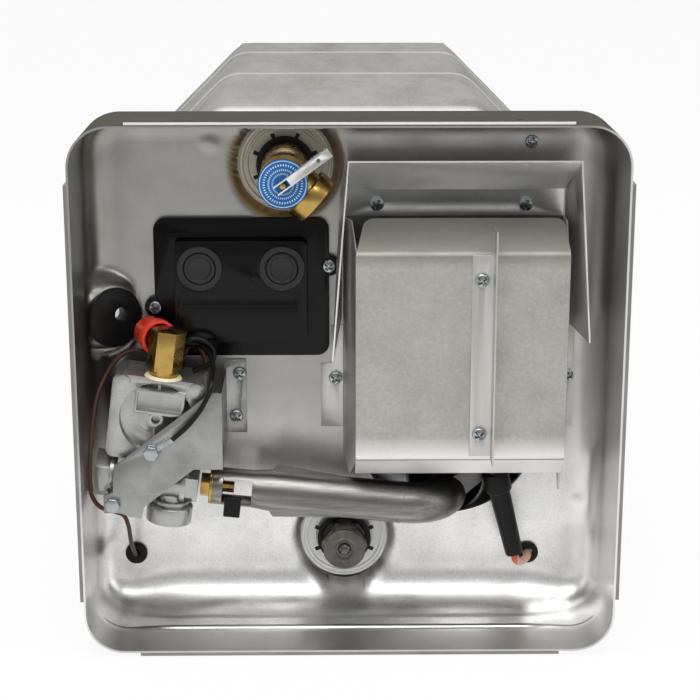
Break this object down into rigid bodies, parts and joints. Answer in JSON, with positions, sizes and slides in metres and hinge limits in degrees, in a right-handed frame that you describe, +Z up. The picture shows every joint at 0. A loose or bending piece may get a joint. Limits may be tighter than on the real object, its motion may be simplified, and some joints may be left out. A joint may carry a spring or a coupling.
{
  "type": "caravan water heater",
  "caption": "Flush-mounted gas water heater for a caravan: square drawn front pan with valve, burner and flue box, and an octagonal insulated tank jacket behind.",
  "frame": {"origin": "middle of the underside of the whole heater", "axes": "+Z up, front of the pan faces -Y, tank runs along +Y"},
  "size_m": [0.322, 0.487, 0.322],
  "materials": {
    "aluminised_steel": "satin drawn sheet",
    "galvanised_steel": "satin rolled sheet",
    "flue_sheet": "satin folded sheet",
    "flue_pipe": "heat-marked",
    "cast_aluminium": "as cast",
    "sheet_aluminium": "mill finish",
    "zinc_screw": "zinc plated",
    "brass": "machined",
    "black_plastic": "moulded",
    "black_rubber": "matt",
    "red_plastic": "moulded",
    "blue_plastic": "printed without text",
    "seal_white": "matt",
    "seal_cream": "matt",
    "tank_steel": "welded, lined",
    "foam": "foam",
    "dark_steel": "blackened",
    "anode_metal": "cast rod",
    "ceramic_white": "glazed",
    "brown_wire": "insulated",
    "black_wire": "insulated",
    "orange_wire": "silicone",
    "natural_plastic": "moulded",
    "brown_plastic": "moulded"
  },
  "bodies": {
    "heater": {"pan": "aluminised_steel", "flange_top": "aluminised_steel", "flange_bottom": "aluminised_steel", "flange_left": "aluminised_steel", "flange_right": "aluminised_steel", "jacket": "galvanised_steel", "rear_cover": "galvanised_steel", "insulation": "foam", "tank": "tank_steel", "flue_tube": "flue_pipe", "flue_baffle": "flue_pipe", "cold_inlet": "tank_steel", "hot_outlet": "tank_steel", "dip_tube": "natural_plastic", "drain_plug": "dark_steel", "anode_rod": "anode_metal", "drain_seal": "seal_white", "drain_ring": "black_rubber", "relief_seal": "seal_cream", "relief_ring": "black_rubber", "relief_body": "brass", "relief_disc": "blue_plastic", "relief_probe": "brass", "reset_cover": "black_plastic", "thermostat": "brown_plastic", "limit_switch": "brown_plastic", "line_grommet": "black_rubber", "wire_grommet": "black_rubber", "spark_grommet": "black_rubber", "valve_body": "cast_aluminium", "valve_plug": "cast_aluminium", "valve_cap": "cast_aluminium", "valve_coil": "black_plastic", "inlet_elbow": "brass", "inlet_sealant": "seal_cream", "valve_bracket": "sheet_aluminium", "valve_screws": "zinc_screw", "ring_terminal": "zinc_screw", "orifice": "brass", "burner_tube": "flue_sheet", "flue_visor": "flue_sheet", "flue_wall_left": "flue_sheet", "flue_wall_right": "flue_sheet", "flue_cover": "flue_sheet", "cover_fin": "flue_sheet", "fin_screws": "zinc_screw", "panel_screws": "zinc_screw", "electrode": "ceramic_white", "electrode_boot": "black_rubber", "spark_lead": "orange_wire", "brown_leads": "brown_wire", "black_leads": "black_wire"},
    "relief_stem": {"relief_stem": "brass", "relief_pin": "zinc_screw"},
    "relief_lever": {"relief_lever": "zinc_screw"},
    "button_left": {"button_left": "black_plastic"},
    "button_right": {"button_right": "black_plastic"},
    "air_shutter": {"air_shutter": "black_plastic"},
    "inlet_cap": {"inlet_cap": "red_plastic"}
  },
  "joints": [
    {"name": "relief_stem_slide", "type": "slide", "parent": "heater", "child": "relief_stem", "axis": [0, -1, 0], "range_m": [0, 0.003]},
    {"name": "relief_lever_hinge", "type": "hinge", "parent": "relief_stem", "child": "relief_lever", "pos_m": [-0.0379, -0.2385, 0.2854], "axis": [0.5878, 0, -0.809], "range_deg": [0, 80]},
    {"name": "button_left_slide", "type": "slide", "parent": "heater", "child": "button_left", "axis": [0, 1, 0], "range_m": [0, 0.003], "stiffness_N_per_m": 800},
    {"name": "button_right_slide", "type": "slide", "parent": "heater", "child": "button_right", "axis": [0, 1, 0], "range_m": [0, 0.003], "stiffness_N_per_m": 800},
    {"name": "air_shutter_slide", "type": "slide", "parent": "heater", "child": "air_shutter", "axis": [0.9949, 0, -0.1011], "range_m": [-0.0015, 0.0055]},
    {"name": "inlet_cap_slide", "type": "slide", "parent": "heater", "child": "inlet_cap", "axis": [-0.4954, 0.866, 0.0679], "range_m": [0, 0.008]}
  ],
  "couplings": [
    {"joint": "relief_stem_slide", "follows": "relief_lever_hinge", "m_per_rad": 0.00214}
  ]
}
